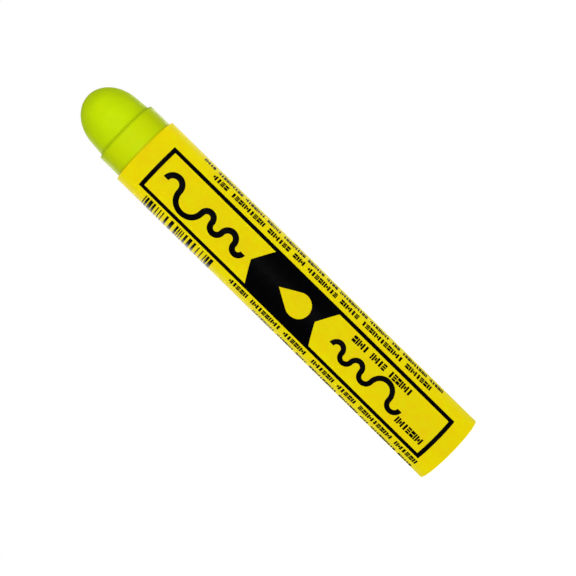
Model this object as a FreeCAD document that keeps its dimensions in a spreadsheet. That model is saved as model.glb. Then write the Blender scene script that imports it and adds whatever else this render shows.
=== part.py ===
"""Solid paint marker: a moulded stick of solid paint in a card tube with a printed paper label.

The marker stands on its tail. Z runs up its axis from the tail to the rounded tip, and the printed
front faces -Y. The origin is the centre of the tail end. Sizes are in millimetres.
"""
import FreeCAD
import Part
import Sketcher
import math
import os

from FreeCAD import Placement, Rotation, Vector

SIZES = {
    # Card tube, cut square at both ends with the bore's edges eased
    "tube_length": 101.7,
    "tube_bore": 17.4,
    "tube_wall": 0.55,
    "tube_edge_ease": 0.15,
    # Stick of paint, a hand-push fit in the tube
    "stick_clearance": 0.05,
    "tail_recess": 1.2,
    "tail_dish": 0.6,
    "collar_length": 6.5,
    "collar_ease": 0.22,
    "shoulder_width": 0.79,
    "shoulder_bevel": 0.35,
    "dome_taper": 0.285,
    "dome_height": 12.45,
    "nose_length": 9.4,
    # Paper label on a film of glue, lapped over its own first edge down the back
    "glue_film": 0.03,
    "label_thickness": 0.13,
    "lap_width": 3.0,
    "lap_ramp": 0.8,
    # Ink, and how far the print is turned from the front, in degrees
    "ink_thickness": 0.05,
    "print_turn": 4.1,
    # Border line round the front panel
    "border_width": 13.3,
    "border_line": 1.1,
    "border_tail_margin": 4.4,
    "border_nose_margin": 4.9,
    # Dark band across the panel, with chevron ends that point to the tip
    "band_length": 21.0,
    "band_from_tail": 41.6,
    "chevron_rise": 3.0,
    # Bare drop in the dark band
    "drop_diameter": 6.4,
    "drop_point": 6.4,
    "drop_from_band_tail": 8.4,
    # Wavy stroke in the panel's nose half; its bends are whole numbers of the step
    "nose_wave_margin": 2.3,
    "nose_wave_stroke": 1.5,
    "nose_wave_step": 0.15,
    "nose_wave_offset": 0.4,
    # Wavy stroke in the panel's tail half
    "tail_wave_margin": 10.2,
    "tail_wave_stroke": 1.3,
    "tail_wave_step": 0.15,
    "tail_wave_offset": 0.9,
    # Lines of small type, shown as one dash a word
    "letter_height": 1.7,
    "letter_pitch": 1.2,
    "fine_letter_height": 1.5,
    "fine_letter_pitch": 0.9,
    "left_line_gap": 0.85,
    "right_line_gap": 1.4,
    "fine_line_gap": 1.8,
    "left_lines_tail_margin": 3.8,
    "middle_line_tail_margin": 40.8,
    "right_line_tail_margin": 13.7,
    "right_fine_line_tail_margin": 10.8,
    "panel_line_margin": 11.0,
    "panel_line_offset": 3.0,
    "tail_word_margin": 1.2,
    "tail_word_offset": 2.0,
    # Bars beside the border
    "bars_nose_margin": 8.0,
    "bars_height": 10.0,
    "bar_module": 0.3,
}

# Sizes that follow from those above
FOLLOWING = {
    "stick_radius": "=tube_bore / 2 - stick_clearance",
    "tube_radius": "=tube_bore / 2 + tube_wall",
    "label_bore": "=tube_radius + glue_film",
    "label_radius": "=label_bore + label_thickness",
    "lap_radius": "=label_radius + label_thickness",
    "ink_radius": "=label_radius + ink_thickness",
    "tail_middle": "=tail_recess + tail_dish",
    "shoulder_level": "=tube_length + collar_length",
    "tip_level": "=shoulder_level + dome_height",
    "nose_level": "=tip_level - nose_length",
    "dome_base": "=stick_radius - shoulder_width",
    "nose_radius": "=dome_base - dome_taper",
    "border_half": "=label_radius * sin(border_width / 2 / label_radius * 180 / pi)",
    "window_half": "=label_radius * sin((border_width / 2 - border_line) / label_radius * 180 / pi)",
    "border_nose": "=tube_length - border_nose_margin",
    "window_tail": "=border_tail_margin + border_line",
    "window_nose": "=border_nose - border_line",
    "band_nose": "=band_from_tail + band_length",
    "drop_level": "=band_from_tail + drop_from_band_tail",
    "drop_tip": "=drop_level + drop_point",
    "tail_wave_start": "=window_tail + tail_wave_margin",
    "left_line": "=border_width / 2 + left_line_gap",
    "right_line": "=border_width / 2 + right_line_gap",
    "fine_line": "=left_line + letter_height + fine_line_gap",
    "panel_line_start": "=window_tail + panel_line_margin",
    "tail_word_start": "=window_tail + tail_word_margin",
    "bars_top": "=tube_length - bars_nose_margin",
    "band_peak": "=band_nose + chevron_rise",
    "nose_wave_start": "=band_peak + nose_wave_margin",
}

# Radius of each bend of the wavy strokes, in steps, from the tail end on
NOSE_WAVE = (10, 13, 11, 11, 24, 15)
TAIL_WAVE = (12, 20, 11, 11, 10, 11)

# Bars beside the border
BAR_COUNT = 21

# Letters in each word of the lines of type
LEFT_WORDS = (6, 9, 5, 6)
MIDDLE_WORDS = (6, 8, 5)
RIGHT_WORDS = (7, 11, 5, 8, 3, 6, 9, 4)
LEFT_FINE_WORDS = (5, 9, 3, 7, 10, 4, 6, 8)
RIGHT_FINE_WORDS = (5, 9, 3, 7, 10, 4, 6, 8, 5, 7, 9, 4)
PANEL_WORDS = (6, 4, 4)
TAIL_WORDS = (7,)

# Points this close together are one point
SAME_PLACE = 1e-6

# Places in a sketch: its origin and upright axis, and the points of a line or arc
ROOT, UPRIGHT = range(-1, -3, -1)
START, END, CENTRE = range(1, 4)


def fill_sheet(document):
    """Write every size into the spreadsheet, each with its name as the cell's alias."""
    sheet = document.addObject("Spreadsheet::Sheet", "Sizes")
    for row, (name, size) in enumerate({**SIZES, **FOLLOWING}.items(), start=1):
        sheet.set(f"A{row}", name)
        sheet.set(f"B{row}", str(size))
        sheet.setAlias(f"B{row}", name)
    document.recompute()
    return sheet


def worth(expression):
    """Return the number that an expression on the sheet comes to."""
    return float(sizes.evalExpression(expression))


def bind(item, **properties):
    """Tie properties of an object to expressions on the sheet."""
    for name, expression in properties.items():
        item.setExpression(name, expression)


def turn_about_axis(item, degrees):
    """Turn an object about the Z axis by an expression in degrees."""
    item.Placement = Placement(Vector(0, 0, 0), Rotation(Vector(0, 0, 1), 1))
    item.setExpression("Placement.Rotation.Angle", degrees)


def body_sketch(body, name, role):
    """Add a sketch on one of a body's own origin planes."""
    sketch = body.newObject("Sketcher::SketchObject", name)
    plane = next(item for item in body.Origin.OriginFeatures if item.Role == role)
    sketch.AttachmentSupport = [(plane, "")]
    sketch.MapMode = "FlatFace"
    return sketch


def front_sketch(name):
    """Add a free sketch that stands in the XZ plane and is seen from the front."""
    sketch = doc.addObject("Sketcher::SketchObject", name)
    sketch.Placement = Placement(Vector(0, 0, 0), Rotation(Vector(1, 0, 0), 90))
    return sketch


def dimension(sketch, kind, *place, expression):
    """Add a driving dimension whose value is an expression on the sheet."""
    number = sketch.addConstraint(Sketcher.Constraint(kind, *place, worth(expression)))
    sketch.setExpression(f"Constraints[{number}]", expression)


def across(sketch, element, point, expression):
    """Hold a point of a sketch element this far across from the sketch's origin."""
    dimension(sketch, "DistanceX", ROOT, START, element, point, expression=expression)


def up(sketch, element, point, expression):
    """Hold a point of a sketch element this far up from the sketch's origin."""
    dimension(sketch, "DistanceY", ROOT, START, element, point, expression=expression)


def on_axis(sketch, element, point):
    """Hold a point of a sketch element on the upright axis."""
    sketch.addConstraint(Sketcher.Constraint("PointOnObject", element, point, UPRIGHT))


def join(sketch, first, first_point, second, second_point):
    """Make two points of a sketch one."""
    sketch.addConstraint(Sketcher.Constraint("Coincident", first, first_point, second, second_point))


def draw_loop(sketch, shapes):
    """Draw lines and arcs that run end to start round a closed outline, and return their numbers."""
    elements = [sketch.addGeometry(shape, False) for shape in shapes]
    for element, following in zip(elements, elements[1:] + elements[:1]):
        join(sketch, element, END, following, START)
    return elements


def draw_polygon(sketch, corners):
    """Draw a closed outline of straight lines through corners given as pairs of expressions."""
    points = [Vector(worth(x), worth(z), 0) for x, z in corners]
    sides = [Part.LineSegment(point, following) for point, following in zip(points, points[1:] + points[:1])]
    for side, (x, z) in zip(draw_loop(sketch, sides), corners):
        across(sketch, side, START, x)
        up(sketch, side, START, z)


def arc_about(centre, start, end):
    """Return the arc that runs anticlockwise about a centre from one point to another."""
    angles = [math.atan2(point.y - centre.y, point.x - centre.x) for point in (start, end)]
    if angles[1] <= angles[0]:
        angles[1] += 2 * math.pi
    circle = Part.Circle(centre, Vector(0, 0, 1), centre.distanceToPoint(start))
    return Part.ArcOfCircle(circle, *angles)


def edges_at(feature, radius, level):
    """Name the round edges of a feature that have this radius and lie at this level."""
    edges = []
    for number, edge in enumerate(feature.Shape.Edges, start=1):
        point = edge.Vertexes[0].Point
        at_radius = math.isclose(math.hypot(point.x, point.y), radius, abs_tol=SAME_PLACE)
        if edge.isClosed() and at_radius and math.isclose(point.z, level, abs_tol=SAME_PLACE):
            edges.append(f"Edge{number}")
    return edges


def ease_edges(body, name, base, places, size):
    """Chamfer the round edges of a base feature that lie at the given radii and levels."""
    doc.recompute()
    edges = [edge for place in places for edge in edges_at(base, *map(worth, place))]
    eased = body.newObject("PartDesign::Chamfer", name)
    eased.Base = (base, edges)
    bind(eased, Size=size)
    return eased


def touch_on_ellipse(corner, centre_level, wide, tall):
    """Return the ellipse's parameter where a line from an outside corner touches its upper side."""
    aside = corner.x / wide
    above = (corner.y - centre_level) / tall
    return math.atan2(above, aside) + math.acos(1 / math.hypot(aside, above))


def make_paint_stick():
    """The moulded stick: sunken tail, core in the tube, collar, shoulder and long rounded nose."""
    body = doc.addObject("PartDesign::Body", "paint_stick")
    sketch = body_sketch(body, "stick_profile", "XZ_Plane")
    radius = worth("Sizes.stick_radius")
    wide = worth("Sizes.nose_radius")
    tall = worth("Sizes.nose_length")
    tail_rim = Vector(radius, worth("Sizes.tail_recess"), 0)
    tail_middle = Vector(0, worth("Sizes.tail_middle"), 0)
    collar_rim = Vector(radius, worth("Sizes.shoulder_level"), 0)
    dome_corner = Vector(worth("Sizes.dome_base"), worth("Sizes.shoulder_level"), 0)
    nose_middle = Vector(0, worth("Sizes.nose_level"), 0)
    touch = touch_on_ellipse(dome_corner, nose_middle.y, wide, tall)
    nose_start = nose_middle + Vector(wide * math.cos(touch), tall * math.sin(touch), 0)
    tip = nose_middle + Vector(0, tall, 0)
    ellipse = Part.Ellipse(tip, nose_middle - Vector(wide, 0, 0), nose_middle)

    side, shoulder, taper, nose, middle, tail = [
        sketch.addGeometry(shape, False)
        for shape in (
            Part.LineSegment(tail_rim, collar_rim),
            Part.LineSegment(collar_rim, dome_corner),
            Part.LineSegment(dome_corner, nose_start),
            Part.ArcOfEllipse(ellipse, touch - math.pi / 2, 0),
            Part.LineSegment(tip, tail_middle),
            Part.LineSegment(tail_middle, tail_rim),
        )
    ]
    # The ellipse's own axes come next, as construction lines
    sketch.exposeInternalGeometry(nose)
    long_axis, short_axis = tail + 1, tail + 2
    join(sketch, side, END, shoulder, START)
    join(sketch, shoulder, END, taper, START)
    sketch.addConstraint(Sketcher.Constraint("Tangent", taper, END, nose, START))
    join(sketch, nose, END, middle, START)
    join(sketch, middle, END, tail, START)
    join(sketch, tail, END, side, START)
    sketch.addConstraint(Sketcher.Constraint("Vertical", side))
    sketch.addConstraint(Sketcher.Constraint("Horizontal", shoulder))
    for element, point in ((nose, CENTRE), (nose, END), (long_axis, START), (tail, START)):
        on_axis(sketch, element, point)
    across(sketch, side, START, "Sizes.stick_radius")
    up(sketch, side, START, "Sizes.tail_recess")
    up(sketch, tail, START, "Sizes.tail_middle")
    across(sketch, taper, START, "Sizes.dome_base")
    up(sketch, taper, START, "Sizes.shoulder_level")
    up(sketch, nose, CENTRE, "Sizes.nose_level")
    up(sketch, long_axis, START, "Sizes.tip_level")
    across(sketch, short_axis, END, "Sizes.nose_radius")

    moulded = body.newObject("PartDesign::Revolution", "moulded_stick")
    moulded.Profile = sketch
    moulded.ReferenceAxis = (sketch, ["V_Axis"])
    moulded.Angle = 360
    corner = [("Sizes.dome_base", "Sizes.shoulder_level")]
    blended = ease_edges(body, "shoulder_blend", moulded, corner, "Sizes.shoulder_bevel")
    rim = [("Sizes.stick_radius", "Sizes.shoulder_level")]
    ease_edges(body, "collar_rim", blended, rim, "Sizes.collar_ease")
    return body


def make_card_tube():
    """The rolled card tube, its bore's two edges eased."""
    body = doc.addObject("PartDesign::Body", "card_tube")
    sketch = body_sketch(body, "tube_section", "XY_Plane")
    for radius in ("Sizes.tube_radius", "Sizes.tube_bore / 2"):
        ring = sketch.addGeometry(Part.Circle(Vector(0, 0, 0), Vector(0, 0, 1), worth(radius)), False)
        join(sketch, ring, CENTRE, ROOT, START)
        dimension(sketch, "Radius", ring, expression=radius)
    wall = body.newObject("PartDesign::Pad", "rolled_wall")
    wall.Profile = sketch
    bind(wall, Length="Sizes.tube_length")
    ends = [("Sizes.tube_bore / 2", "0"), ("Sizes.tube_bore / 2", "Sizes.tube_length")]
    ease_edges(body, "eased_edges", wall, ends, "Sizes.tube_edge_ease")
    return body


def back_of_circle(radius, aside):
    """Return the point on the back half of a circle about the axis, this far across."""
    return Vector(aside, math.sqrt(radius**2 - aside**2), 0)


def make_label_paper():
    """The paper label: one turn round the tube that ramps up over its own first edge at the back."""
    body = doc.addObject("PartDesign::Body", "label_paper")
    sketch = body_sketch(body, "label_section", "XY_Plane")
    axis = Vector(0, 0, 0)
    inner = worth("Sizes.label_bore")
    outer = worth("Sizes.label_radius")
    lapped = worth("Sizes.lap_radius")
    ramp = worth("Sizes.lap_ramp")
    lap = worth("Sizes.lap_width")
    face_arc = arc_about(axis, back_of_circle(outer, -lap), back_of_circle(outer, ramp))
    flap_arc = arc_about(axis, back_of_circle(lapped, 0), back_of_circle(lapped, -lap))
    glued_arc = arc_about(axis, back_of_circle(inner, 0), back_of_circle(inner, ramp))
    first_corner = back_of_circle(outer, 0)
    outside = (
        face_arc,
        Part.LineSegment(face_arc.EndPoint, flap_arc.StartPoint),
        flap_arc,
        Part.LineSegment(flap_arc.EndPoint, face_arc.StartPoint),
    )
    inside = (
        glued_arc,
        Part.LineSegment(glued_arc.EndPoint, first_corner),
        Part.LineSegment(first_corner, glued_arc.StartPoint),
    )
    face, _, flap, cut_edge = draw_loop(sketch, outside)
    glued, _, first_edge = draw_loop(sketch, inside)
    radii = {face: "Sizes.label_radius", flap: "Sizes.lap_radius", glued: "Sizes.label_bore"}
    for arc, radius in radii.items():
        join(sketch, arc, CENTRE, ROOT, START)
        dimension(sketch, "Radius", arc, expression=radius)
    across(sketch, face, START, "-Sizes.lap_width")
    across(sketch, face, END, "Sizes.lap_ramp")
    across(sketch, glued, END, "Sizes.lap_ramp")
    for element in (flap, glued, first_edge):
        on_axis(sketch, element, START)
    up(sketch, first_edge, START, "Sizes.label_radius")
    sketch.addConstraint(Sketcher.Constraint("Vertical", cut_edge))

    paper = body.newObject("PartDesign::Pad", "wrapped_paper")
    paper.Profile = sketch
    bind(paper, Length="Sizes.tube_length")
    return body


def label_core(name):
    """The space inside the label's outer face, which the ink is cut away from."""
    core = doc.addObject("Part::Cylinder", name)
    bind(core, Radius="Sizes.label_radius", Height="Sizes.tube_length")
    return core


def draw_border(sketch):
    """The panel's border: a frame with a window on each side of the dark band."""
    edge = "Sizes.border_half"
    side = "Sizes.window_half"
    low, high = "Sizes.border_tail_margin", "Sizes.border_nose"
    band_notch = "Sizes.band_from_tail + Sizes.chevron_rise"
    frame = [(f"-{edge}", low), (edge, low), (edge, high), (f"-{edge}", high)]
    nose_window = [
        (f"-{side}", "Sizes.band_nose"),
        ("0", "Sizes.band_peak"),
        (side, "Sizes.band_nose"),
        (side, "Sizes.window_nose"),
        (f"-{side}", "Sizes.window_nose"),
    ]
    tail_window = [
        (f"-{side}", "Sizes.window_tail"),
        (side, "Sizes.window_tail"),
        (side, "Sizes.band_from_tail"),
        ("0", band_notch),
        (f"-{side}", "Sizes.band_from_tail"),
    ]
    for corners in (frame, nose_window, tail_window):
        draw_polygon(sketch, corners)


def draw_drop(sketch):
    """The bare drop in the dark band: a round foot with two tangents that meet at a point."""
    radius = worth("Sizes.drop_diameter / 2")
    centre = Vector(0, worth("Sizes.drop_level"), 0)
    lean = math.asin(radius / worth("Sizes.drop_point"))
    right = centre + Vector(radius * math.cos(lean), radius * math.sin(lean), 0)
    left = Vector(-right.x, right.y, 0)
    point = Vector(0, worth("Sizes.drop_tip"), 0)
    foot = sketch.addGeometry(arc_about(centre, left, right), False)
    right_side = sketch.addGeometry(Part.LineSegment(right, point), False)
    left_side = sketch.addGeometry(Part.LineSegment(point, left), False)
    sketch.addConstraint(Sketcher.Constraint("Tangent", foot, END, right_side, START))
    sketch.addConstraint(Sketcher.Constraint("Tangent", left_side, END, foot, START))
    join(sketch, right_side, END, left_side, START)
    on_axis(sketch, foot, CENTRE)
    on_axis(sketch, left_side, START)
    dimension(sketch, "Radius", foot, expression="Sizes.drop_diameter / 2")
    up(sketch, foot, CENTRE, "Sizes.drop_level")
    up(sketch, left_side, START, "Sizes.drop_tip")


def wave_bends(steps, start, step, limit):
    """Return the level and radius of each half circle of a wavy stroke, from its start on.

    The stroke stops short of a limit, but always has its first bend.
    """
    bends = []
    passed = 0
    for count in steps:
        level, radius = f"{start} + {passed + count} * {step}", f"{count} * {step}"
        if bends and worth(f"{level} + {radius}") > worth(limit):
            break
        bends.append((level, radius))
        passed += 2 * count
    return bends


def draw_wave(sketch, name, steps, limit):
    """A wavy stroke: two rails of half circles, each bent the other way from the last."""
    middle = f"-Sizes.{name}_offset"
    half_stroke = f"Sizes.{name}_stroke / 2"
    rails = [[], []]
    bends = wave_bends(steps, f"Sizes.{name}_start", f"Sizes.{name}_step", limit)
    for bend, (level, radius) in enumerate(bends):
        centre = Vector(worth(middle), worth(level), 0)
        wider, narrower = f"{radius} + {half_stroke}", f"{radius} - {half_stroke}"
        bulges_right = bend % 2 == 0
        reaches = (wider, narrower) if bulges_right else (narrower, wider)
        for rail, reach in zip(rails, reaches):
            offset = Vector(0, worth(reach), 0)
            ends = (centre - offset, centre + offset) if bulges_right else (centre + offset, centre - offset)
            arc = sketch.addGeometry(arc_about(centre, *ends), False)
            low_end, high_end = (START, END) if bulges_right else (END, START)
            across(sketch, arc, CENTRE, middle)
            up(sketch, arc, CENTRE, level)
            across(sketch, arc, high_end, middle)
            if rail:
                join(sketch, *rail[-1][1], arc, low_end)
            else:
                across(sketch, arc, low_end, middle)
                dimension(sketch, "Radius", arc, expression=reach)
            rail.append(((arc, low_end), (arc, high_end)))
    for bend, end in ((0, 0), (-1, 1)):
        first, second = [rail[bend][end] for rail in rails]
        cap = Part.LineSegment(sketch.getPoint(*first), sketch.getPoint(*second))
        cap = sketch.addGeometry(cap, False)
        join(sketch, cap, START, *first)
        join(sketch, cap, END, *second)


def draw_nose_wave(sketch):
    """The wavy stroke between the dark band and the panel's nose edge."""
    draw_wave(sketch, "nose_wave", NOSE_WAVE, "Sizes.window_nose")


def draw_tail_wave(sketch):
    """The wavy stroke between the panel's tail edge and the dark band."""
    draw_wave(sketch, "tail_wave", TAIL_WAVE, "Sizes.band_from_tail")


def make_front_print():
    """What is printed on the front panel: flat drawings carried through onto the round label."""
    film = doc.addObject("Part::Cylinder", "ink_face")
    bind(film, Radius="Sizes.ink_radius", Height="Sizes.tube_length")
    ink = doc.addObject("Part::Cut", "ink_film")
    ink.Base = film
    ink.Tool = label_core("front_core")
    drawings = {
        "border_and_band": (draw_border, draw_drop),
        "nose_wave": (draw_nose_wave,),
        "tail_wave": (draw_tail_wave,),
    }
    areas = []
    for name, draw_parts in drawings.items():
        sketch = front_sketch(f"{name}_drawing")
        for draw_part in draw_parts:
            draw_part(sketch)
        block = doc.addObject("Part::Extrusion", f"{name}_block")
        block.Base = sketch
        block.DirMode = "Normal"
        block.Solid = True
        block.FaceMakerClass = "Part::FaceMakerBullseye"
        bind(block, LengthFwd="Sizes.ink_radius")
        area = doc.addObject("Part::Common", name)
        area.Base = ink
        area.Tool = block
        areas.append(area)
    return areas


def ring_marks(name, spans, first, height):
    """Print marks that curve round the label: each span along the axis is one dash or bar.

    They start at an arc length from the panel's middle, positive towards +X, and reach on by
    their height.
    """
    plates = []
    for number, (low, length) in enumerate(spans):
        plate = doc.addObject("Part::Cylinder", f"{name}_{number}")
        sweep = f"{height} / Sizes.label_radius * 180 / pi"
        bind(plate, Radius="Sizes.ink_radius", Height=length, Angle=sweep)
        plate.setExpression("Placement.Base.z", low)
        plates.append(plate)
    line = doc.addObject("Part::Compound", f"{name}_blocks")
    line.Links = plates
    turn_about_axis(line, f"({first}) / Sizes.label_radius * 180 / pi - 90")
    marks = doc.addObject("Part::Cut", name)
    marks.Base = line
    marks.Tool = label_core(f"{name}_core")
    return marks


def word_spans(words, start, pitch, limit):
    """Return the start and length of each word in a line of type, one letter's gap between them.

    The line stops short of a limit, but always has its first word.
    """
    spans = []
    letters = 0
    for word in words:
        low, length = f"{start} + {letters} * {pitch}", f"{word} * {pitch}"
        if spans and worth(f"{low} + {length}") > worth(limit):
            break
        spans.append((low, length))
        letters += word + 1
    return spans


def bar_modules():
    """Return where each bar starts and ends, in modules down from the top, by two short rules."""
    bars = []
    start = 0
    for bar in range(BAR_COUNT):
        end = start + 1 + (bar * bar + bar // 2) % 3
        bars.append((start, end))
        start = end + 1 + (3 * bar + bar // 3) % 3
    return bars


def make_side_print():
    """The bars, and the lines of small type beside the border and in the panel."""
    bars = bar_modules()
    bar_levels = [f"Sizes.bars_top - {end} * Sizes.bar_module" for _, end in bars]
    bar_widths = [f"{end - start} * Sizes.bar_module" for start, end in bars]
    height, pitch = "Sizes.letter_height", "Sizes.letter_pitch"
    fine_height, fine_pitch = "Sizes.fine_letter_height", "Sizes.fine_letter_pitch"
    left = f"-Sizes.left_line - {height}"
    left_fine = f"-Sizes.fine_line - {fine_height}"
    tail_word = f"-Sizes.tail_word_offset - {height}"
    left_start, middle_start = "Sizes.left_lines_tail_margin", "Sizes.middle_line_tail_margin"
    right_start, right_fine_start = "Sizes.right_line_tail_margin", "Sizes.right_fine_line_tail_margin"
    panel_start, tail_start = "Sizes.panel_line_start", "Sizes.tail_word_start"
    below_bars = bar_levels[-1]
    right_end, panel_end, tail_end = "Sizes.border_nose", "Sizes.band_from_tail", "Sizes.tail_wave_start"
    # Each line's words, where they start along the axis and must stop, and its place round the label
    lines = {
        "left_line": (LEFT_WORDS, left_start, pitch, middle_start, left, height),
        "middle_line": (MIDDLE_WORDS, middle_start, pitch, below_bars, left, height),
        "right_line": (RIGHT_WORDS, right_start, pitch, right_end, "Sizes.right_line", height),
        "left_fine_line": (LEFT_FINE_WORDS, left_start, fine_pitch, below_bars, left_fine, fine_height),
        "right_fine_line": (
            RIGHT_FINE_WORDS, right_fine_start, fine_pitch, right_end, "Sizes.fine_line", fine_height,
        ),
        "panel_line": (PANEL_WORDS, panel_start, pitch, panel_end, "Sizes.panel_line_offset", height),
        "tail_word": (TAIL_WORDS, tail_start, pitch, tail_end, tail_word, height),
    }
    marks = [
        ring_marks(name, word_spans(words, start, word_pitch, limit), first, reach)
        for name, (words, start, word_pitch, limit, first, reach) in lines.items()
    ]
    bars_first = "-Sizes.left_line - Sizes.bars_height"
    marks.append(ring_marks("bars", zip(bar_levels, bar_widths), bars_first, "Sizes.bars_height"))
    return marks


def make_label_print():
    """All the ink on the label, one group turned a little from the front."""
    marks = make_front_print() + make_side_print()
    group = doc.addObject("Part::Compound", "label_print")
    group.Links = marks
    turn_about_axis(group, "-Sizes.print_turn")
    return group


def check_document(pieces):
    """Stop if any object failed, or a piece has no sound shape."""
    failed = [item.Name for item in doc.Objects if {"Invalid", "Error"} & set(item.State)]
    failed += [piece.Label for piece in pieces if piece.Shape.isNull() or not piece.Shape.isValid()]
    if failed:
        raise RuntimeError(f"these objects failed: {failed}")


doc = FreeCAD.newDocument("SolidPaintMarker")
sizes = fill_sheet(doc)
pieces = [make_paint_stick(), make_card_tube(), make_label_paper(), make_label_print()]
doc.recompute()
check_document(pieces)
os.makedirs("parts", exist_ok=True)
for piece in pieces:
    piece.Shape.exportStep(f"parts/{piece.Label}.step")
    print(piece.Label, len(piece.Shape.Solids), "solids,", round(piece.Shape.Volume, 2), "mm3")
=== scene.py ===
import bpy
import math
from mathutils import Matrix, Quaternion, Vector


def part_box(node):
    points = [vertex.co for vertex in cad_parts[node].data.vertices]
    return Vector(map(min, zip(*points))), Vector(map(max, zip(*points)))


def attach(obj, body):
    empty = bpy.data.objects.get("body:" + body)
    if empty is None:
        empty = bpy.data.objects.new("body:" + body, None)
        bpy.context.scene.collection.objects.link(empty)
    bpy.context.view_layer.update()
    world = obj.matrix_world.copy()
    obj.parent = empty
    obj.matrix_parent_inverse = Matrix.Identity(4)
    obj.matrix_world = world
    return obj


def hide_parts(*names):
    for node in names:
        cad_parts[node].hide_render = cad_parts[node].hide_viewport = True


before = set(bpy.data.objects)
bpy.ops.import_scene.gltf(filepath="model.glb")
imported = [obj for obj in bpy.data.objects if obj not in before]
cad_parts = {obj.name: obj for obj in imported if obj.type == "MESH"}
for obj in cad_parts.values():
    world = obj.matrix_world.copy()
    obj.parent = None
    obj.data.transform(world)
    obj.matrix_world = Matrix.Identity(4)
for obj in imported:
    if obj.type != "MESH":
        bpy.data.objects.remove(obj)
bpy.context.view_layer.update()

# The stick of solid paint
# One casting of pigment, resin and wax, poured into a smooth mould and pushed into the tube by hand:
# a plain cylinder, a stepped shoulder, and a long rounded nose. The poured end sinks as it cools.

MM = 0.001
SAME_PLACE = 0.001 * MM

stick_low, stick_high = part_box("paint_stick")
STICK_RADIUS = stick_high.x
STICK_TAIL = stick_low.z
STICK_TIP = stick_high.z
TAIL_DISH = 0.6 * MM
DISH_RINGS = 12
CORE_RING_SPACING = 12 * MM
COLLAR_RING_SPACING = 0.5 * MM
COLLAR_START = 100 * MM
MOUTH_LEVEL = 101.7 * MM
SHOULDER_LEVEL = 108.2 * MM
SHOULDER_WIDTH = 0.79 * MM
COLLAR_RIM_RADIUS = 0.3 * MM
SHOULDER_BLEND_RADIUS = 0.4 * MM
CORNER_STEPS = 8
DOME_TAPER = 0.285 * MM
NOSE_LENGTH = 9.4 * MM
NOSE_RINGS = 64
NOSE_LAST_TURN = math.radians(89)
TURNED_SIDES = 256
SMOOTHING_ANGLE = math.radians(40)


def turn_profile(name, rings, fill):
    """Turn a piece about the Z axis: a circle is extruded and resized from each ring to the next."""
    radius, level = rings[0]
    bpy.ops.object.select_all(action="DESELECT")
    bpy.ops.mesh.primitive_circle_add(
        vertices=TURNED_SIDES, radius=radius, fill_type=fill, location=(0, 0, level)
    )
    piece = bpy.context.object
    piece.name = piece.data.name = name
    bpy.ops.object.mode_set(mode="EDIT")
    for next_radius, next_level in rings[1:]:
        bpy.ops.mesh.extrude_region_move(TRANSFORM_OT_translate={"value": (0, 0, next_level - level)})
        growth = next_radius / radius
        bpy.ops.transform.resize(value=(growth, growth, 1), center_override=(0, 0, next_level))
        radius, level = next_radius, next_level
    close_mesh()
    return piece


def close_mesh():
    """Merge the doubles of the mesh in edit mode, point its faces outwards and go back to object mode."""
    bpy.ops.mesh.select_all(action="SELECT")
    bpy.ops.mesh.remove_doubles(threshold=SAME_PLACE)
    bpy.ops.mesh.normals_make_consistent(inside=False)
    bpy.ops.object.mode_set(mode="OBJECT")
    bpy.ops.object.transform_apply()


def round_corner(radius, level, size, first_turn, last_turn):
    """Return rings round a corner of this size about a centre given as radius and level."""
    turns = [first_turn + (last_turn - first_turn) * step / CORNER_STEPS for step in range(CORNER_STEPS + 1)]
    return [(radius + size * math.cos(turn), level + size * math.sin(turn)) for turn in turns]


def even_rings(radius, low, high, spacing):
    """Return rings up a straight wall, no further apart than the spacing."""
    count = math.ceil((high - low) / spacing)
    return [(radius, low + (high - low) * step / count) for step in range(count)]


dome_base = STICK_RADIUS - SHOULDER_WIDTH
nose_radius = dome_base - DOME_TAPER
nose_level = STICK_TIP - NOSE_LENGTH
# Where the straight taper touches the nose's ellipse, as a turn on the ellipse
aside, above = dome_base / nose_radius, (SHOULDER_LEVEL - nose_level) / NOSE_LENGTH
nose_turn = math.atan2(above, aside) + math.acos(1 / math.hypot(aside, above))

stick_rings = [
    (STICK_RADIUS * share, STICK_TAIL + TAIL_DISH * (1 - share))
    for share in ((ring + 1) / DISH_RINGS for ring in range(DISH_RINGS))
]
stick_rings += even_rings(STICK_RADIUS, STICK_TAIL + TAIL_DISH, COLLAR_START, CORE_RING_SPACING)
stick_rings += even_rings(
    STICK_RADIUS, COLLAR_START, SHOULDER_LEVEL - COLLAR_RIM_RADIUS, COLLAR_RING_SPACING
)
stick_rings += round_corner(
    STICK_RADIUS - COLLAR_RIM_RADIUS, SHOULDER_LEVEL - COLLAR_RIM_RADIUS, COLLAR_RIM_RADIUS, 0, math.pi / 2
)
stick_rings += round_corner(
    dome_base + SHOULDER_BLEND_RADIUS, SHOULDER_LEVEL + SHOULDER_BLEND_RADIUS, SHOULDER_BLEND_RADIUS,
    3 / 2 * math.pi, math.pi,
)
stick_rings += [
    (nose_radius * math.cos(turn), nose_level + NOSE_LENGTH * math.sin(turn))
    for turn in (
        nose_turn + (NOSE_LAST_TURN - nose_turn) * ring / NOSE_RINGS for ring in range(NOSE_RINGS + 1)
    )
]
stick = turn_profile("moulded_paint_stick", stick_rings, "TRIFAN")


def apply_modifiers(piece):
    """Apply all the modifiers of a piece, in their order."""
    bpy.ops.object.select_all(action="DESELECT")
    piece.select_set(True)
    bpy.context.view_layer.objects.active = piece
    for modifier in list(piece.modifiers):
        bpy.ops.object.modifier_apply(modifier=modifier.name)


def make_uneven(piece, size, depth):
    """Sink soft dips of about this size and at most this depth into a piece's surface."""
    texture = bpy.data.textures.new(f"{piece.name}_dips", "CLOUDS")
    texture.noise_scale = size
    dips = piece.modifiers.new("dips", "DISPLACE")
    dips.texture = texture
    dips.texture_coords = "LOCAL"
    dips.mid_level = 1
    dips.strength = depth


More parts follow.
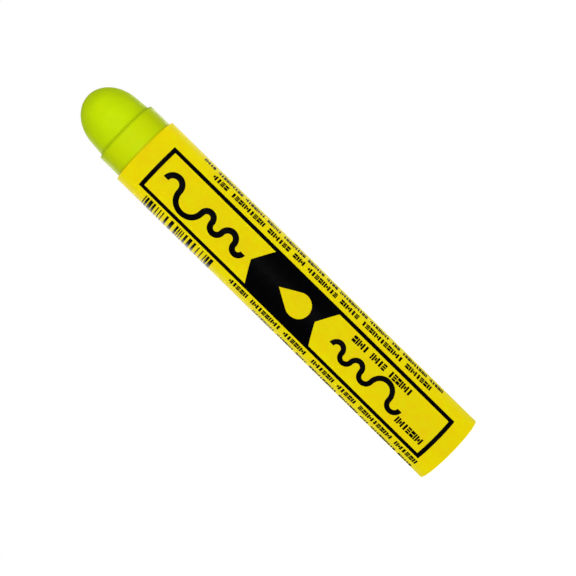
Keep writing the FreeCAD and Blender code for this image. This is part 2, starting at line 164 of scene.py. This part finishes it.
def smooth_faces(piece):
    """Shade a piece smooth, apart from its sharp edges."""
    bpy.ops.object.select_all(action="DESELECT")
    piece.select_set(True)
    bpy.context.view_layer.objects.active = piece
    bpy.ops.object.shade_smooth_by_angle(angle=SMOOTHING_ANGLE)


CASTING_DIP_SIZE = 5 * MM
CASTING_DIP_DEPTH = 0.05 * MM
make_uneven(stick, CASTING_DIP_SIZE, CASTING_DIP_DEPTH)
apply_modifiers(stick)
smooth_faces(stick)


def linear(code):
    """Turn an sRGB hex colour into the linear colour that a shader takes."""
    shares = [int(code[place:place + 2], 16) / 255 for place in (1, 3, 5)]
    return [
        share / 12.92 if share <= 0.04045 else ((share + 0.055) / 1.055) ** 2.4 for share in shares
    ] + [1]


def per_metre(millimetres):
    """Return the scale of a pattern whose features are this size."""
    return 1 / (millimetres * MM)


def add_node(tree, kind, inputs=None, **settings):
    """Add a node with its settings, and give each named input a value or a link."""
    node = tree.nodes.new(kind)
    for name, setting in settings.items():
        setattr(node, name, setting)
    for name, source in (inputs or {}).items():
        if isinstance(source, bpy.types.NodeSocket):
            tree.links.new(source, node.inputs[name])
        else:
            node.inputs[name].default_value = source
    return node


def new_material(name):
    """Return an empty material, its node tree, and its object coordinates."""
    material = bpy.data.materials.new(name)
    material.use_nodes = True
    tree = material.node_tree
    tree.nodes.clear()
    coordinates = add_node(tree, "ShaderNodeTexCoord").outputs["Object"]
    return material, tree, coordinates


def noise(tree, coordinates, size, detail=2):
    """Return the value of soft noise whose features are about this many millimetres."""
    inputs = {"Vector": coordinates, "Scale": per_metre(size), "Detail": detail}
    return add_node(tree, "ShaderNodeTexNoise", inputs).outputs["Fac"]


NOISE_LOW = 0.3
NOISE_HIGH = 0.7


def spread(tree, value, low, high):
    """Return noise stretched from its usual range to between two values."""
    inputs = {"Value": value, "From Min": NOISE_LOW, "From Max": NOISE_HIGH, "To Min": low, "To Max": high}
    return add_node(tree, "ShaderNodeMapRange", inputs).outputs["Result"]


def blend_colours(tree, share, first, second):
    """Return a colour between a hex colour, or the output of a node, and a hex colour."""
    if isinstance(first, str):
        first = linear(first)
    inputs = {0: share, 6: first, 7: linear(second)}
    return add_node(tree, "ShaderNodeMix", inputs, data_type="RGBA").outputs[2]


def bump(tree, height, depth, normal=None):
    """Return the normal of a surface that a height raises by up to this many millimetres."""
    inputs = {"Height": height, "Distance": depth * MM, "Strength": 1}
    if normal is not None:
        inputs["Normal"] = normal
    return add_node(tree, "ShaderNodeBump", inputs).outputs["Normal"]


def finish_material(tree, **inputs):
    """Add the surface shader with these inputs and link it to the output."""
    inputs = {name.replace("_", " "): source for name, source in inputs.items()}
    shader = add_node(tree, "ShaderNodeBsdfPrincipled", inputs)
    add_node(tree, "ShaderNodeOutputMaterial", {"Surface": shader.outputs["BSDF"]})


def ring_at(tree, coordinates, level, half_width):
    """Return 1 at a level of the marker, fading to 0 at this distance above and below it."""
    height = add_node(tree, "ShaderNodeSeparateXYZ", {"Vector": coordinates}).outputs["Z"]
    offset = add_node(tree, "ShaderNodeMath", {0: height, 1: level}, operation="SUBTRACT").outputs["Value"]
    distance = add_node(tree, "ShaderNodeMath", {0: offset}, operation="ABSOLUTE").outputs["Value"]
    inputs = {"Value": distance, "From Max": half_width, "To Min": 1, "To Max": 0}
    return add_node(tree, "ShaderNodeMapRange", inputs, interpolation_type="SMOOTHSTEP").outputs["Result"]


COLLAR_MIDDLE = 105 * MM
# Level, half width and colour of each darker ring: the collar's duller lime, whose fading edge lays painted
# shade into the shoulder's corner, then painted shade in that corner and at the mouth
DULL_COLLAR_AND_PAINTED_SHADE_RINGS = (
    (COLLAR_MIDDLE, 6 * MM, "#C5D803"),
    # Painted shade in the shoulder's corner
    (SHOULDER_LEVEL, 0.95 * MM, "#B0C902"),
    # Painted shade where the stick goes into the tube
    (MOUTH_LEVEL, 0.8 * MM, "#BDBE02"),
)


def cast_fluorescent_paint():
    """Solid fluorescent paint, cast: an even lime that scatters a little, with a dull waxy skin.

    The collar's lime is a little duller, fading out as painted shade in the shoulder's corner, and a dark
    ring of painted shade lies in that corner and at the mouth.
    """
    material, tree, place = new_material("cast_fluorescent_paint")
    colour = blend_colours(tree, spread(tree, noise(tree, place, 4), 0, 1), "#C7E203", "#BEDA03")
    # Darker rings: a duller collar, and painted shade in the shoulder's corner and at the mouth
    for level, half_width, ring_colour in DULL_COLLAR_AND_PAINTED_SHADE_RINGS:
        colour = blend_colours(tree, ring_at(tree, place, level, half_width), colour, ring_colour)
    grain = bump(tree, noise(tree, place, 0.25, 4), 0.006)
    finish_material(
        tree,
        Base_Color=colour,
        Roughness=spread(tree, noise(tree, place, 1.5, 3), 0.5, 0.62),
        IOR=1.45,
        Specular_IOR_Level=0.04,
        Subsurface_Weight=0.1,
        Subsurface_Radius=(1, 1, 0.3),
        Subsurface_Scale=0.4 * MM,
        Normal=bump(tree, noise(tree, place, 3, 1), 0.03, grain),
    )
    return material


stick.data.materials.append(cast_fluorescent_paint())
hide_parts("paint_stick")
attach(stick, "root")

# The card tube
# Three plies of grey chipboard rolled straight round a mandrel with glue and cut square. The cut ends
# show the plies as fine rings, and the knife leaves the bore's edge eased.

tube_low, tube_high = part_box("card_tube")
TUBE_RADIUS = tube_high.x
TUBE_LENGTH = tube_high.z
TUBE_BORE_RADIUS = 8.7 * MM
TUBE_EDGE_EASE = 0.15 * MM
PLY_COUNT = 3
PLY_GROOVE_DEPTH = 0.04 * MM
PLY_GROOVE_WIDTH = 0.03 * MM
TUBE_RING_SPACING = 10 * MM


def end_rings(level, inward):
    """Return rings from the bore to the rim over a cut end, with a fine groove between the plies."""
    start = TUBE_BORE_RADIUS + TUBE_EDGE_EASE
    ply = (TUBE_RADIUS - start) / PLY_COUNT
    rings = [(TUBE_BORE_RADIUS, level + inward * TUBE_EDGE_EASE), (start, level)]
    for count in range(1, PLY_COUNT):
        middle = start + count * ply
        rings.append((middle - PLY_GROOVE_WIDTH, level))
        rings.append((middle, level + inward * PLY_GROOVE_DEPTH))
        rings.append((middle + PLY_GROOVE_WIDTH, level))
    return rings + [(TUBE_RADIUS, level)]


tail_end = end_rings(0, 1)
mouth_end = end_rings(TUBE_LENGTH, -1)
tube_rings = tail_end + even_rings(TUBE_RADIUS, 0, TUBE_LENGTH, TUBE_RING_SPACING)[1:] + mouth_end[::-1]
tube = turn_profile("rolled_card_tube", tube_rings + tail_end[:1], "NOTHING")
smooth_faces(tube)


def rolled_chipboard():
    """Grey-brown chipboard: matt, with short fibres and darker flecks of recycled stock."""
    material, tree, place = new_material("rolled_chipboard")
    flecks = spread(tree, noise(tree, place, 0.3, 3), 0, 1)
    finish_material(
        tree,
        Base_Color=blend_colours(tree, flecks, "#CDBC9C", "#B5A180"),
        Roughness=0.85,
        IOR=1.5,
        Specular_IOR_Level=0.2,
        Normal=bump(tree, noise(tree, place, 0.12, 3), 0.02),
    )
    return material


tube.data.materials.append(rolled_chipboard())
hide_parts("card_tube")
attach(tube, "root")

# The paper label
# One sheet of coated paper, printed solid yellow, wound once round the tube and glued over its own
# first edge down the back. The coating gives it a soft face, and its cut edges are paler.

label_low, label_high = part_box("label_paper")
LABEL_RADIUS = label_high.x
LAP_RISE = 0.13 * MM
LABEL_THICKNESS = 0.12 * MM
LAP_WIDTH = 3 * MM
LAP_RAMP = 0.8 * MM
LABEL_COLUMNS = 360
LABEL_ROWS = 60
PAPER_DIP_SIZE = 9 * MM
PAPER_DIP_DEPTH = 0.02 * MM


def select_where(piece, chosen):
    """In edit mode, select only the vertices whose place meets a condition."""
    bpy.ops.mesh.select_mode(type="VERT")
    bpy.ops.mesh.select_all(action="DESELECT")
    bpy.ops.object.mode_set(mode="OBJECT")
    for vertex in piece.data.vertices:
        vertex.select = chosen(vertex.co)
    bpy.ops.object.mode_set(mode="EDIT")


def cut_across(place):
    """In edit mode, cut the whole mesh along an upright line at this place across."""
    bpy.ops.mesh.select_all(action="SELECT")
    bpy.ops.mesh.bisect(plane_co=(place, 0, 0), plane_no=(1, 0, 0), threshold=SAME_PLACE)


def wrap_round(piece, radius):
    """Bend a flat sheet that faces -Y round the Z axis, its own middle line staying at the front."""
    wrap = piece.modifiers.new("wrap", "SIMPLE_DEFORM")
    wrap.deform_method = "BEND"
    wrap.deform_axis = "Z"
    wrap.angle = piece.dimensions.x / radius
    apply_modifiers(piece)
    piece.location = (0, -radius, 0)
    bpy.ops.object.transform_apply()


half_turn = math.pi * LABEL_RADIUS
sheet_width = 2 * half_turn + LAP_WIDTH
sheet_length = label_high.z - label_low.z
bpy.ops.object.select_all(action="DESELECT")
bpy.ops.mesh.primitive_grid_add(
    x_subdivisions=LABEL_COLUMNS,
    y_subdivisions=LABEL_ROWS,
    size=1,
    rotation=(math.pi / 2, 0, 0),
    location=(LAP_WIDTH / 2, 0, label_low.z + sheet_length / 2),
)
label = bpy.context.object
label.name = label.data.name = "yellow_paper_label"
label.scale = (sheet_width, sheet_length, 1)
bpy.ops.object.transform_apply()
bpy.ops.object.mode_set(mode="EDIT")
cut_across(half_turn - LAP_RAMP)
cut_across(half_turn)
select_where(label, lambda place: place.x > half_turn - SAME_PLACE)
bpy.ops.transform.translate(value=(0, -LAP_RISE, 0))
bpy.ops.object.mode_set(mode="OBJECT")
wrap_round(label, LABEL_RADIUS)
make_uneven(label, PAPER_DIP_SIZE, PAPER_DIP_DEPTH)
paper = label.modifiers.new("paper", "SOLIDIFY")
paper.thickness = LABEL_THICKNESS
paper.offset = -1
paper.material_offset_rim = 1
apply_modifiers(label)
smooth_faces(label)


def satin_yellow_paper():
    """Coated paper under a solid yellow: hardly any gloss, with faint mottle and fibre."""
    material, tree, place = new_material("satin_yellow_paper")
    mottle = spread(tree, noise(tree, place, 2.2, 3), 0, 1)
    fibre = bump(tree, noise(tree, place, 0.15, 4), 0.004)
    finish_material(
        tree,
        Base_Color=blend_colours(tree, mottle, "#E4DA03", "#E7D205"),
        Roughness=spread(tree, noise(tree, place, 1.2, 3), 0.6, 0.7),
        IOR=1.5,
        Specular_IOR_Level=0.03,
        Diffuse_Roughness=1,
        Normal=bump(tree, noise(tree, place, 2.5, 1), 0.012, fibre),
    )
    return material


def cut_paper_edge():
    """The knife's cut through the label: matt paper that the yellow has tinged, its fibres raised."""
    material, tree, place = new_material("cut_paper_edge")
    finish_material(
        tree,
        Base_Color=blend_colours(tree, spread(tree, noise(tree, place, 0.3), 0, 1), "#E9DC8C", "#D9C96E"),
        Roughness=0.8,
        IOR=1.5,
        Specular_IOR_Level=0.2,
        Normal=bump(tree, noise(tree, place, 0.08, 3), 0.01),
    )
    return material


label.data.materials.append(satin_yellow_paper())
label.data.materials.append(cut_paper_edge())
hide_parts("label_paper")
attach(label, "root")

# The black print
# One run of black ink over the yellow, a film of a few hundredths of a millimetre. A border holds a
# dark band with a bare drop and two wavy strokes. Beside it stand lines of dummy type and bars.

INK_UNDER = 0.005 * MM
INK_THICKNESS = 0.045 * MM
PRINT_TURN = math.radians(4.1)
SLICE_WIDTH = 0.35 * MM

BORDER_WIDTH = 13.3 * MM
BORDER_LINE = 1.1 * MM
BORDER_TAIL = 4.4 * MM
BORDER_NOSE = TUBE_LENGTH - 4.9 * MM
BAND_TAIL = 41.6 * MM
BAND_LENGTH = 21 * MM
CHEVRON_RISE = 3 * MM
DROP_RADIUS = 3.2 * MM
DROP_POINT = 6.4 * MM
DROP_LEVEL = BAND_TAIL + 8.4 * MM
DROP_SIDES = 64
DROP_PUNCH_DEPTH = 1 * MM
# The radius of each bend of a wavy stroke is a whole number of steps, from the tail end on
WAVE_STEP = 0.15 * MM
NOSE_WAVE = (10, 13, 11, 11, 24, 15)
NOSE_WAVE_START = BAND_TAIL + BAND_LENGTH + CHEVRON_RISE + 2.3 * MM
NOSE_WAVE_MIDDLE = -0.4 * MM
NOSE_WAVE_STROKE = 1.5 * MM
TAIL_WAVE = (12, 20, 11, 11, 10, 11)
TAIL_WAVE_START = BORDER_TAIL + BORDER_LINE + 10.2 * MM
TAIL_WAVE_MIDDLE = -0.9 * MM
TAIL_WAVE_STROKE = 1.3 * MM
BEND_STEPS = 24


def new_plate(name, left, right, low, high):
    """Add a flat rectangle that faces -Y, as a piece of its own in edit mode."""
    bpy.ops.object.select_all(action="DESELECT")
    bpy.ops.mesh.primitive_plane_add(
        size=1, rotation=(math.pi / 2, 0, 0), location=((left + right) / 2, 0, (low + high) / 2)
    )
    plate = bpy.context.object
    plate.name = plate.data.name = name
    plate.scale = (right - left, high - low, 1)
    bpy.ops.object.transform_apply()
    bpy.ops.object.mode_set(mode="EDIT")
    return plate


def thicken(piece):
    """Give a flat plate the thickness of the ink, and leave edit mode."""
    bpy.ops.object.mode_set(mode="OBJECT")
    film = piece.modifiers.new("film", "SOLIDIFY")
    film.thickness = INK_THICKNESS
    film.offset = 1
    apply_modifiers(piece)


def print_border():
    """The border line: a rectangle inset by the line's width, its middle taken out."""
    half = BORDER_WIDTH / 2
    border = new_plate("border", -half, half, BORDER_TAIL, BORDER_NOSE)
    bpy.ops.mesh.inset(thickness=BORDER_LINE)
    bpy.ops.mesh.delete(type="FACE")
    thicken(border)
    return border


def print_band():
    """The dark band, its middle drawn up to make both ends chevrons, with the drop cut out of it."""
    half = BORDER_WIDTH / 2 - BORDER_LINE
    band = new_plate("band", -half, half, BAND_TAIL, BAND_TAIL + BAND_LENGTH)
    cut_across(0)
    select_where(band, lambda place: abs(place.x) < SAME_PLACE)
    bpy.ops.transform.translate(value=(0, 0, CHEVRON_RISE))
    thicken(band)
    drop = make_drop_cutter()
    cut = band.modifiers.new("drop", "BOOLEAN")
    cut.operation = "DIFFERENCE"
    cut.object = drop
    apply_modifiers(band)
    bpy.data.objects.remove(drop)
    return band


def make_drop_cutter():
    """A drop-shaped punch: the hull of a disc and a point above it."""
    bpy.ops.object.select_all(action="DESELECT")
    bpy.ops.mesh.primitive_cylinder_add(
        vertices=DROP_SIDES,
        radius=DROP_RADIUS,
        depth=DROP_PUNCH_DEPTH,
        rotation=(math.pi / 2, 0, 0),
        location=(0, 0, DROP_LEVEL),
    )
    drop = bpy.context.object
    bpy.ops.object.transform_apply()
    bpy.ops.object.mode_set(mode="EDIT")
    select_where(drop, lambda place: place.z > DROP_LEVEL + DROP_RADIUS - SAME_PLACE)
    bpy.ops.mesh.extrude_region_move(TRANSFORM_OT_translate={"value": (0, 0, DROP_POINT - DROP_RADIUS)})
    bpy.ops.mesh.select_all(action="SELECT")
    bpy.ops.mesh.convex_hull()
    close_mesh()
    return drop


def print_wave(name, start, middle, stroke, bends):
    """A wavy stroke: one short edge spun half round each bend, first one way and then the other."""
    half = stroke / 2
    wave = new_plate(name, middle - half, middle + half, start - half, start + half)
    bpy.ops.mesh.select_mode(type="EDGE")
    bpy.ops.mesh.delete(type="ONLY_FACE")
    select_where(wave, lambda place: place.x > middle)
    bpy.ops.mesh.delete(type="VERT")
    bpy.ops.mesh.select_all(action="SELECT")
    bpy.ops.transform.translate(value=(half, 0, 0))
    turn = -math.pi
    for steps in bends:
        radius = steps * WAVE_STEP
        bpy.ops.mesh.spin(
            steps=BEND_STEPS, angle=turn, center=(middle, 0, start + radius), axis=(0, 1, 0)
        )
        start += 2 * radius
        turn = -turn
    thicken(wave)
    return wave


# Lines of dummy type: marks in the place of letters, grouped as words
LETTER_HEIGHT = 1.7 * MM
LETTER_PITCH = 1.2 * MM
FINE_LETTER_HEIGHT = 1.5 * MM
FINE_LETTER_PITCH = 0.9 * MM
LEFT_LINE = BORDER_WIDTH / 2 + 0.85 * MM
RIGHT_LINE = BORDER_WIDTH / 2 + 1.4 * MM
FINE_LINE = LEFT_LINE + LETTER_HEIGHT + 1.8 * MM
FINE_WORDS = (5, 9, 3, 7, 10, 4, 6, 8)
TYPE_LINES = (
    # Words, level of the first, pitch, near side across from the middle, height
    ((6, 9, 5, 6), 3.8 * MM, LETTER_PITCH, -LEFT_LINE - LETTER_HEIGHT, LETTER_HEIGHT),
    ((6, 8, 5), 40.8 * MM, LETTER_PITCH, -LEFT_LINE - LETTER_HEIGHT, LETTER_HEIGHT),
    ((7, 11, 5, 8, 3, 6, 9, 4), 13.7 * MM, LETTER_PITCH, RIGHT_LINE, LETTER_HEIGHT),
    (FINE_WORDS, 3.8 * MM, FINE_LETTER_PITCH, -FINE_LINE - FINE_LETTER_HEIGHT, FINE_LETTER_HEIGHT),
    (FINE_WORDS + (5, 7, 9, 4), 10.8 * MM, FINE_LETTER_PITCH, FINE_LINE, FINE_LETTER_HEIGHT),
    ((6, 4, 4), 16.5 * MM, LETTER_PITCH, 3 * MM, LETTER_HEIGHT),
    ((7,), 6.7 * MM, LETTER_PITCH, -2 * MM - LETTER_HEIGHT, LETTER_HEIGHT),
)
# Each mark's strokes, as shares of the line's height and of the pitch
LETTER_MARKS = (
    ((0, 1, 0, 0.37), (0, 1, 0.53, 0.9)),
    ((0, 0.28, 0, 0.88), (0.38, 0.62, 0, 0.88), (0.72, 1, 0, 0.88)),
    ((0, 1, 0, 0.42), (0.26, 0.76, 0.52, 0.9)),
    ((0, 0.44, 0, 0.86), (0.56, 1, 0, 0.86)),
    ((0, 1, 0.16, 0.64),),
)
BARS_TOP = TUBE_LENGTH - 8 * MM
BARS_HEIGHT = 10 * MM
BAR_MODULE = 0.3 * MM
BAR_COUNT = 21


def add_block(left, right, low, high):
    """In edit mode, add one flat rectangle that faces -Y to the plate."""
    bpy.ops.mesh.primitive_plane_add(
        size=1, rotation=(math.pi / 2, 0, 0), location=((left + right) / 2, 0, (low + high) / 2)
    )
    bpy.ops.transform.resize(
        value=(right - left, 1, high - low),
        center_override=((left + right) / 2, 0, (low + high) / 2),
    )


def print_type():
    """All the lines of dummy type: each letter is a few short strokes, picked by a short rule."""
    plate = None
    letters = 0
    for words, start, pitch, near, height in TYPE_LINES:
        level = start
        for word in words:
            for letter in range(word):
                low = level + letter * pitch
                for left, right, bottom, top in LETTER_MARKS[(2 * letters + letter) % len(LETTER_MARKS)]:
                    sides = near + left * height, near + right * height
                    block = *sides, low + bottom * pitch, low + top * pitch
                    if plate is None:
                        plate = new_plate("type", *block)
                    else:
                        add_block(*block)
                letters += 1
            level += (word + 1) * pitch
    thicken(plate)
    return plate


def print_bars():
    """The bars: their widths and gaps follow two short rules, counted in modules from the top."""
    near = -LEFT_LINE - BARS_HEIGHT
    plate = None
    start = 0
    for bar in range(BAR_COUNT):
        end = start + 1 + (bar * bar + bar // 2) % 3
        high, low = BARS_TOP - start * BAR_MODULE, BARS_TOP - end * BAR_MODULE
        if plate is None:
            plate = new_plate("bars", near, near + BARS_HEIGHT, low, high)
        else:
            add_block(near, near + BARS_HEIGHT, low, high)
        start = end + 1 + (3 * bar + bar // 3) % 3
    thicken(plate)
    return plate


nose_wave = print_wave("nose_wave", NOSE_WAVE_START, NOSE_WAVE_MIDDLE, NOSE_WAVE_STROKE, NOSE_WAVE)
tail_wave = print_wave("tail_wave", TAIL_WAVE_START, TAIL_WAVE_MIDDLE, TAIL_WAVE_STROKE, TAIL_WAVE)
prints = [print_border(), print_band(), nose_wave, tail_wave, print_type(), print_bars()]
bpy.ops.object.select_all(action="DESELECT")
for part in prints:
    part.select_set(True)
bpy.context.view_layer.objects.active = prints[0]
bpy.ops.object.join()
ink = prints[0]
ink.name = ink.data.name = "black_print"
ink.location.x = -PRINT_TURN * LABEL_RADIUS
bpy.ops.object.transform_apply()
bpy.ops.object.mode_set(mode="EDIT")
left, right = (pick(vertex.co.x for vertex in ink.data.vertices) for pick in (min, max))
for column in range(math.ceil(left / SLICE_WIDTH), math.ceil(right / SLICE_WIDTH)):
    cut_across(column * SLICE_WIDTH)
bpy.ops.object.mode_set(mode="OBJECT")
wrap_round(ink, LABEL_RADIUS - INK_UNDER)
smooth_faces(ink)


def satin_black_ink():
    """Offset printing ink: dense black with a dull skin that varies a little in gloss."""
    material, tree, place = new_material("satin_black_ink")
    finish_material(
        tree,
        Base_Color=blend_colours(tree, spread(tree, noise(tree, place, 1.5), 0, 1), "#010102", "#030304"),
        Roughness=spread(tree, noise(tree, place, 0.8, 3), 0.4, 0.52),
        IOR=1.5,
        Specular_IOR_Level=0.01,
        Normal=bump(tree, noise(tree, place, 0.15, 3), 0.003),
    )
    return material


ink.data.materials.append(satin_black_ink())
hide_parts("label_print")
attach(ink, "root")

# The place where it stands
# A plain white floor under an even white surround. One low soft lamp stands in front of the marker, and
# two weaker ones behind it, to the left and the right.

FLOOR_SIZE = 6
FLOOR_LIGHT = 0.7
SURROUND_LIGHT = 0.35
# Each lamp's turn from the front, and its power
LAMPS = {
    "soft_front_lamp": (0, 12.9),
    "soft_left_lamp": (math.radians(-150), 7.7),
    "soft_right_lamp": (math.radians(150), 7.7),
}
LAMP_DISTANCE = 1.4
LAMP_HEIGHT = 0.12
LAMP_WIDTH = 0.5
LAMP_DEPTH = 0.2
LAMP_AIM = Vector((0, 0, 60 * MM))

bpy.ops.object.select_all(action="DESELECT")
bpy.ops.mesh.primitive_plane_add(size=FLOOR_SIZE)
floor = bpy.context.object
floor.name = floor.data.name = "white_floor"


def white_floor():
    """Matt white that the view sees at the brightness of the surround, under the object's shadow."""
    material, tree, _ = new_material("matt_white_floor")
    matt = add_node(tree, "ShaderNodeBsdfDiffuse", {"Color": linear("#F2F2F2")})
    glow = add_node(tree, "ShaderNodeEmission", {"Strength": FLOOR_LIGHT})
    both = add_node(tree, "ShaderNodeAddShader", {0: matt.outputs["BSDF"], 1: glow.outputs["Emission"]})
    path = add_node(tree, "ShaderNodeLightPath").outputs["Is Camera Ray"]
    seen = add_node(
        tree, "ShaderNodeMixShader", {0: path, 1: matt.outputs["BSDF"], 2: both.outputs["Shader"]}
    )
    add_node(tree, "ShaderNodeOutputMaterial", {"Surface": seen.outputs["Shader"]})
    return material


floor.data.materials.append(white_floor())

world = bpy.data.worlds.new("even_white_surround")
bpy.context.scene.world = world
world.use_nodes = True
sky = world.node_tree
sky.nodes.clear()
# White as it is seen, and a plain level of light on all that it falls on
rays = add_node(sky, "ShaderNodeLightPath").outputs
seen = rays["Is Camera Ray"]
for mirrored in ("Is Glossy Ray", "Is Transmission Ray"):
    either = add_node(sky, "ShaderNodeMath", {0: seen, 1: rays[mirrored]}, operation="MAXIMUM")
    seen = either.outputs["Value"]
levels = {"Value": seen, "To Min": SURROUND_LIGHT, "To Max": 1}
strength = add_node(sky, "ShaderNodeMapRange", levels).outputs["Result"]
surround = add_node(sky, "ShaderNodeBackground", {"Color": linear("#FFFFFF"), "Strength": strength})
add_node(sky, "ShaderNodeOutputWorld", {"Surface": surround.outputs["Background"]})

for name, (turn, power) in LAMPS.items():
    lamp = bpy.data.objects.new(name, bpy.data.lights.new(name, "AREA"))
    bpy.context.scene.collection.objects.link(lamp)
    lamp.data.shape = "RECTANGLE"
    lamp.data.size = LAMP_WIDTH
    lamp.data.size_y = LAMP_DEPTH
    lamp.data.energy = power
    lamp.visible_camera = False
    lamp.location = (LAMP_DISTANCE * math.sin(turn), -LAMP_DISTANCE * math.cos(turn), LAMP_HEIGHT)
    lamp.rotation_mode = "QUATERNION"
    lamp.rotation_quaternion = (LAMP_AIM - lamp.location).to_track_quat("-Z", "Y")

# The camera
# Almost level with the marker's middle, near enough for a slight perspective, and turned on its own
# axis, so that the tip is at the upper left.

PICTURE_WIDTH = 576
PIXELS_PER_MM = 4.18
CAMERA_DISTANCE = 480 * MM
CAMERA_HEIGHT = 66 * MM
AIM = Vector((0.6, 0, 54.43)) * MM
CAMERA_ROLL = math.radians(-45.5)
NEAREST_SEEN = 10 * MM

camera = bpy.data.objects.new("camera", bpy.data.cameras.new("camera"))
bpy.context.scene.collection.objects.link(camera)
bpy.context.scene.camera = camera
camera.location = (AIM.x, -CAMERA_DISTANCE, CAMERA_HEIGHT)
camera.rotation_mode = "QUATERNION"
looking = (AIM - camera.location).to_track_quat("-Z", "Y")
camera.rotation_quaternion = looking @ Quaternion((0, 0, 1), CAMERA_ROLL)
focal_pixels = PIXELS_PER_MM / MM * CAMERA_DISTANCE
camera.data.lens = camera.data.sensor_width * focal_pixels / PICTURE_WIDTH
camera.data.clip_start = NEAREST_SEEN
bpy.context.scene.view_settings.view_transform = "Standard"
